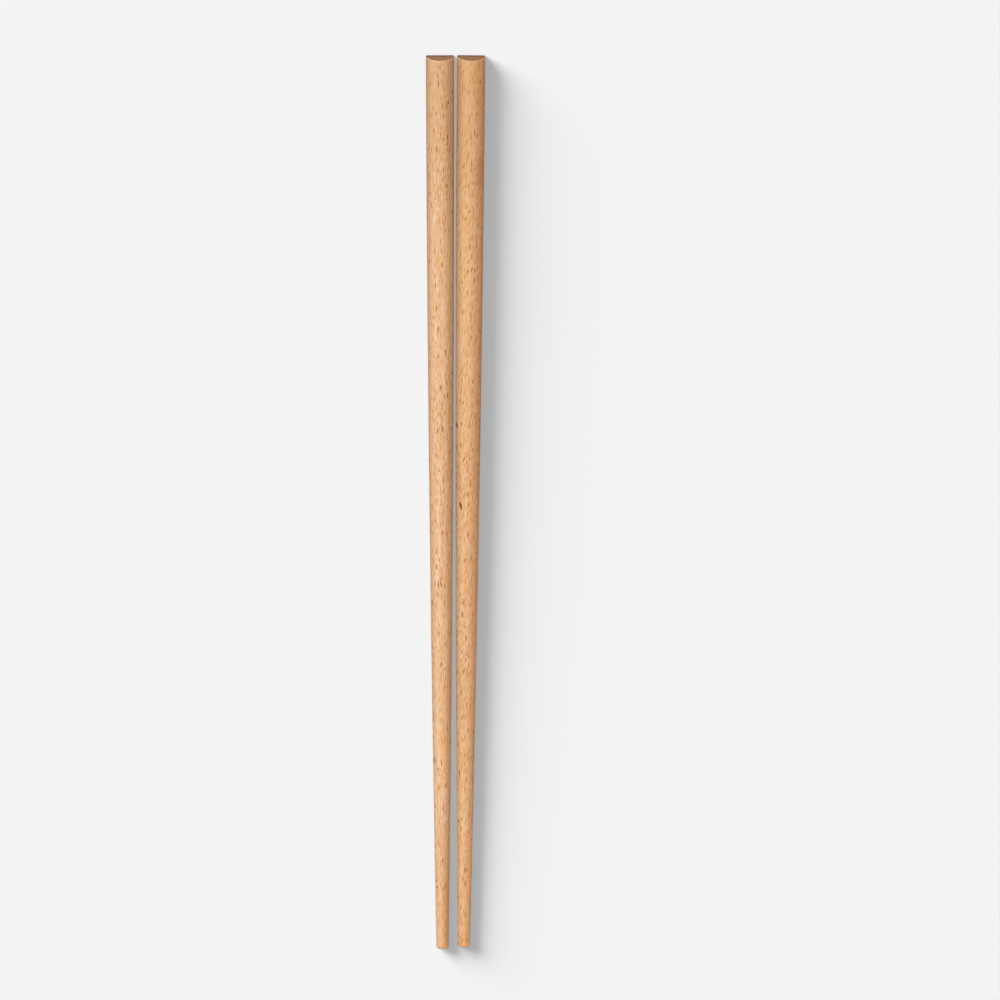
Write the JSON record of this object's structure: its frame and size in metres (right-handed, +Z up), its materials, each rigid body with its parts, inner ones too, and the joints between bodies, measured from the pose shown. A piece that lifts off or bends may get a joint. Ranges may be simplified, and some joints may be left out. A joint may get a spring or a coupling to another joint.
{
  "type": "pair of chopsticks",
  "caption": "Tapered wooden chopsticks with domed tops, flat undersides and nearly round tips, side by side, for picking up food.",
  "frame": {"origin": "on the surface that the pair lies on, under the middle of the pair's box", "axes": "+Y from the eating tips towards the thick butt ends, +Z up from the flat undersides to the ridges, +X from the left stick to the right stick as seen from above with the butts at the top"},
  "size_m": [0.0156, 0.24, 0.006],
  "materials": {
    "beech_wood": "fine-sanded, lightly oiled, satin"
  },
  "bodies": {
    "root": {"left_chopstick": "beech_wood", "right_chopstick": "beech_wood"}
  },
  "joints": []
}
